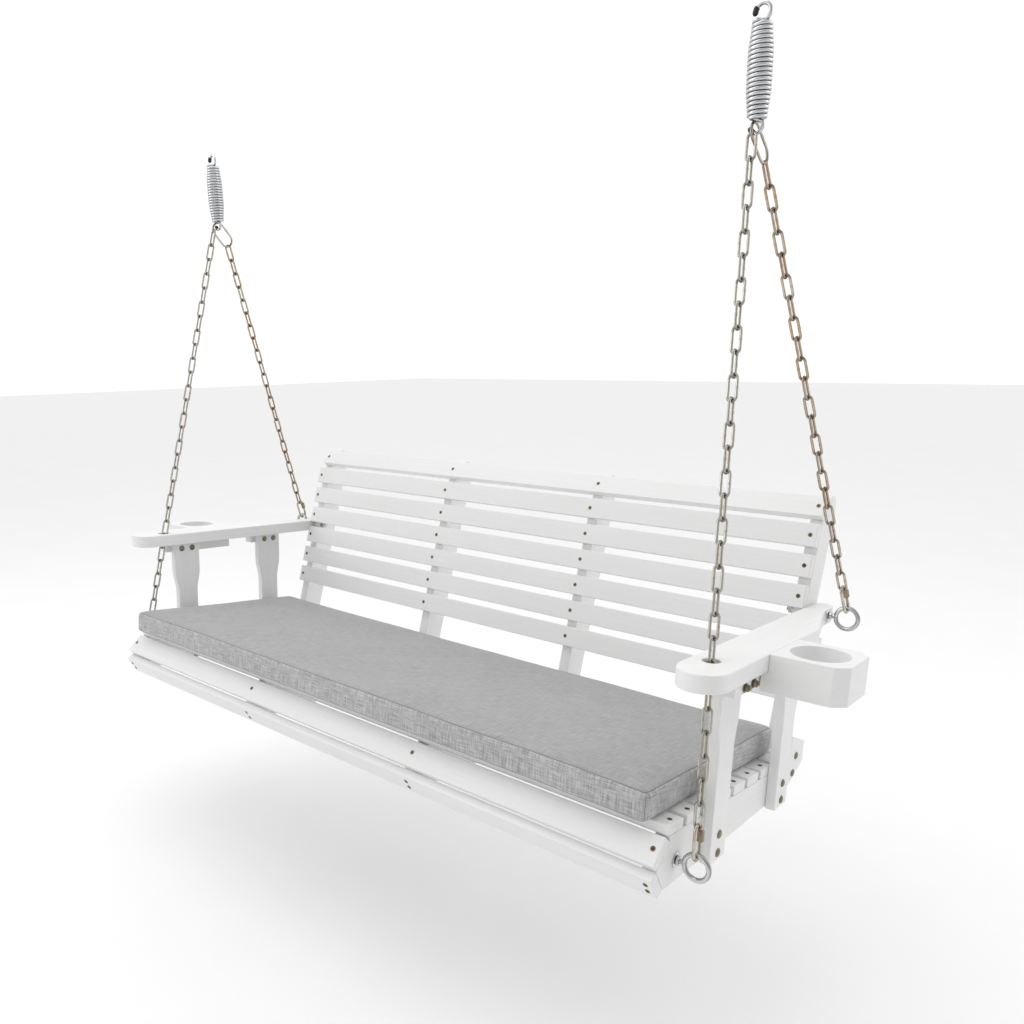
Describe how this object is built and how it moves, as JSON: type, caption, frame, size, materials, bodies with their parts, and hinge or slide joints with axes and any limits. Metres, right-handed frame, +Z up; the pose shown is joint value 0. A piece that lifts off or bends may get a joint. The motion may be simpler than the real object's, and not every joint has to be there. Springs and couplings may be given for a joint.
{
  "type": "porch swing",
  "caption": "Slatted hanging porch bench with rolled back, armrests with cup holders, seat cushion, chains, eye bolts and comfort springs.",
  "frame": {"origin": "midpoint of the line through the two spring hook seats that the swing hangs from", "axes": "+X along the bench to its left-hand sitter side (right in a front view), +Y towards the back, +Z up"},
  "size_m": [1.868, 0.7198, 1.2855],
  "materials": {
    "painted_wood": "white semi-gloss paint over pine, faint grain",
    "linen": "heathered grey linen weave",
    "screw_bronze": "yellow-bronze plated screw heads",
    "sleeve_bronze": "dull bronze plated",
    "zinc_yellow": "yellow zinc plated",
    "nickel": "bright nickel plated",
    "chain_zinc": "zinc plated, lightly tarnished",
    "spring_zinc": "bright zinc plated spring wire",
    "black_vinyl": "soft black vinyl"
  },
  "bodies": {
    "springs": {"spring_left": "spring_zinc", "spring_right": "spring_zinc", "hook_caps_upper": "black_vinyl"},
    "hooks": {"spring_lower_hooks": "spring_zinc", "hook_caps_lower": "black_vinyl"},
    "bench": {"rib_left_end": "painted_wood", "rib_left_inner": "painted_wood", "rib_right_inner": "painted_wood", "rib_right_end": "painted_wood", "seat_slat_1": "painted_wood", "seat_slat_2": "painted_wood", "seat_slat_3": "painted_wood", "seat_slat_4": "painted_wood", "seat_slat_5": "painted_wood", "seat_slat_6": "painted_wood", "seat_slat_7": "painted_wood", "seat_slat_8": "painted_wood", "seat_slat_9": "painted_wood", "apron_slat_upper": "painted_wood", "apron_slat_lower": "painted_wood", "upright_left_end": "painted_wood", "upright_left_inner": "painted_wood", "upright_right_inner": "painted_wood", "upright_right_end": "painted_wood", "back_slat_1": "painted_wood", "back_slat_2": "painted_wood", "back_slat_3": "painted_wood", "back_slat_4": "painted_wood", "back_slat_5": "painted_wood", "back_slat_6": "painted_wood", "back_slat_7": "painted_wood", "armrest_left": "painted_wood", "armrest_right": "painted_wood", "post_front_left": "painted_wood", "post_front_right": "painted_wood", "post_rear_left": "painted_wood", "post_rear_right": "painted_wood", "cleat_front_left": "painted_wood", "cleat_front_right": "painted_wood", "cleat_rear_left": "painted_wood", "cleat_rear_right": "painted_wood", "cup_holder_left": "painted_wood", "cup_holder_right": "painted_wood", "wood_screws": "screw_bronze", "carriage_bolts": "zinc_yellow", "carriage_bolt_nuts": "zinc_yellow", "seat_cushion": "linen", "eye_bolt_front_left": "nickel", "eye_bolt_front_right": "nickel", "eye_bolt_rear_left": "nickel", "eye_bolt_rear_right": "nickel", "eye_bolt_washers": "nickel", "eye_bolt_nuts": "nickel", "quick_links": "chain_zinc", "chain_left": "chain_zinc", "chain_right": "chain_zinc"},
    "sleeve_front_left": {"link_sleeve_front_left": "sleeve_bronze"},
    "sleeve_front_right": {"link_sleeve_front_right": "sleeve_bronze"},
    "sleeve_rear_left": {"link_sleeve_rear_left": "sleeve_bronze"},
    "sleeve_rear_right": {"link_sleeve_rear_right": "sleeve_bronze"}
  },
  "joints": [
    {"name": "spring_stretch", "type": "slide", "parent": "springs", "child": "hooks", "axis": [0, 0, -1], "range_m": [0, 0.025], "stiffness_N_per_m": 50000, "springref_m": -0.012, "deforming": ["spring_left", "spring_right"]},
    {"name": "swing", "type": "hinge", "parent": "hooks", "child": "bench", "pos_m": [0, 0, -0.1645], "axis": [1, 0, 0], "range_deg": [-20, 20]},
    {"name": "sleeve_front_left", "type": "slide", "parent": "bench", "child": "sleeve_front_left", "axis": [-0.0889, -0.2388, -0.967], "range_m": [0, 0.012]},
    {"name": "sleeve_front_right", "type": "slide", "parent": "bench", "child": "sleeve_front_right", "axis": [0.0889, -0.2388, -0.967], "range_m": [0, 0.012]},
    {"name": "sleeve_rear_left", "type": "slide", "parent": "bench", "child": "sleeve_rear_left", "axis": [-0.1322, 0.3163, -0.9394], "range_m": [0, 0.012]},
    {"name": "sleeve_rear_right", "type": "slide", "parent": "bench", "child": "sleeve_rear_right", "axis": [0.1322, 0.3163, -0.9394], "range_m": [0, 0.012]}
  ]
}
